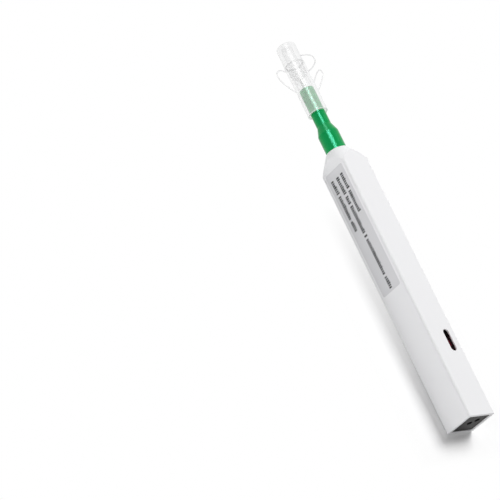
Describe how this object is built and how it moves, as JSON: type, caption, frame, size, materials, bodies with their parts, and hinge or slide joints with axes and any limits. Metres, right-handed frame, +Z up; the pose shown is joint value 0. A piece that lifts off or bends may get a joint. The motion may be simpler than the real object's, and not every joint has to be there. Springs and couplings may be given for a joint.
{
  "type": "fibre connector cleaning pen",
  "caption": "Square white push-to-clean pen for fibre connectors, with a tapered nose, green nozzle, frosted guide cap with a tethered lid, sight window and reeled cleaning thread inside.",
  "frame": {"origin": "on the floor under the middle of the pen's length, with the pen lying on one flat side and its sight window upwards", "axes": "+X along the pen towards the butt end, -X towards the cleaning end, -Y out of the labelled face, +Z up out of the face with the sight window"},
  "size_m": [0.2246, 0.018, 0.018],
  "materials": {
    "shell_white": "satin white moulding with a fine eggshell texture",
    "butt_grey": "dark grey moulding",
    "label_film": "pale grey label film with dark print bars",
    "rail_white": "natural acetal moulding",
    "spring_steel": "bright drawn spring wire",
    "pin_steel": "ground steel pin",
    "screw_steel": "zinc plated steel",
    "chassis_dark": "near black moulding",
    "felt_grey": "pressed felt",
    "nozzle_green": "glossy green moulding",
    "pipe_white": "hard white plastic",
    "reel_red": "deep red moulding",
    "gear_white": "natural acetal moulding",
    "thread_white": "lint free micro fibre thread",
    "cap_frosted": "frosted translucent polypropylene",
    "loop_clear": "clear flexible plastic"
  },
  "bodies": {
    "shell_body": {"shell": "shell_white", "butt_cap": "butt_grey", "label": "label_film", "drive_rail": "rail_white", "return_spring": "spring_steel"},
    "core": {"chassis_base": "chassis_dark", "chassis_cover": "chassis_dark", "chassis_screws": "screw_steel", "take_up_axle": "pin_steel", "supply_axle": "pin_steel", "click_pawl": "gear_white", "supply_brake": "felt_grey", "spindle_bearing": "gear_white", "nozzle": "nozzle_green", "guide_pipe": "pipe_white", "supply_strand": "thread_white", "take_up_strand": "thread_white"},
    "pinion": {"drive_pinion": "gear_white"},
    "take_up": {"take_up_reel": "reel_red", "take_up_thread": "thread_white"},
    "supply": {"supply_reel": "reel_red", "supply_thread": "thread_white"},
    "spindle_body": {"spindle": "pipe_white", "head_retainer": "gear_white", "tip_spring": "spring_steel"},
    "head": {"cleaning_head": "pipe_white", "tip_thread": "thread_white"},
    "cap": {"guide_cap": "cap_frosted", "cap_lower_loop": "loop_clear", "cap_upper_loop": "loop_clear", "lid_tether": "loop_clear"},
    "lid": {"cap_lid": "cap_frosted"}
  },
  "joints": [
    {"name": "push_stroke", "type": "slide", "parent": "shell_body", "child": "core", "axis": [1, 0, 0], "range_m": [0, 0.01], "stiffness_N_per_m": 300, "springref_m": -0.004, "deforming": ["return_spring"]},
    {"name": "pinion_turn", "type": "hinge", "parent": "core", "child": "pinion", "pos_m": [0.07075, 0, 0.009], "axis": [0, 1, 0], "range_deg": [0, 130.37]},
    {"name": "take_up_turn", "type": "hinge", "parent": "core", "child": "take_up", "pos_m": [0.07075, 0, 0.009], "axis": [0, 1, 0], "range_deg": [0, 130.37]},
    {"name": "supply_turn", "type": "hinge", "parent": "core", "child": "supply", "pos_m": [0.05225, 0, 0.009], "axis": [0, 1, 0], "range_deg": [0, 83.99]},
    {"name": "spindle_turn", "type": "hinge", "parent": "core", "child": "spindle_body", "pos_m": [0.01985, 0, 0.009], "axis": [1, 0, 0], "range_deg": [0, 184.1]},
    {"name": "head_press", "type": "slide", "parent": "spindle_body", "child": "head", "axis": [1, 0, 0], "range_m": [0, 0.001], "stiffness_N_per_m": 100, "springref_m": -0.001, "deforming": ["tip_spring"]},
    {"name": "cap_pull", "type": "slide", "parent": "core", "child": "cap", "axis": [-1, 0, 0], "range_m": [0, 0.05]},
    {"name": "lid_pull", "type": "slide", "parent": "cap", "child": "lid", "axis": [-1, 0, 0], "range_m": [0, 0.012], "deforming": ["lid_tether"]}
  ],
  "couplings": [
    {"joint": "pinion_turn", "follows": "push_stroke", "rad_per_m": 222.22},
    {"joint": "take_up_turn", "follows": "push_stroke", "rad_per_m": 222.22},
    {"joint": "supply_turn", "follows": "push_stroke", "rad_per_m": 142.86},
    {"joint": "spindle_turn", "follows": "push_stroke", "rad_per_m": 314.16}
  ]
}
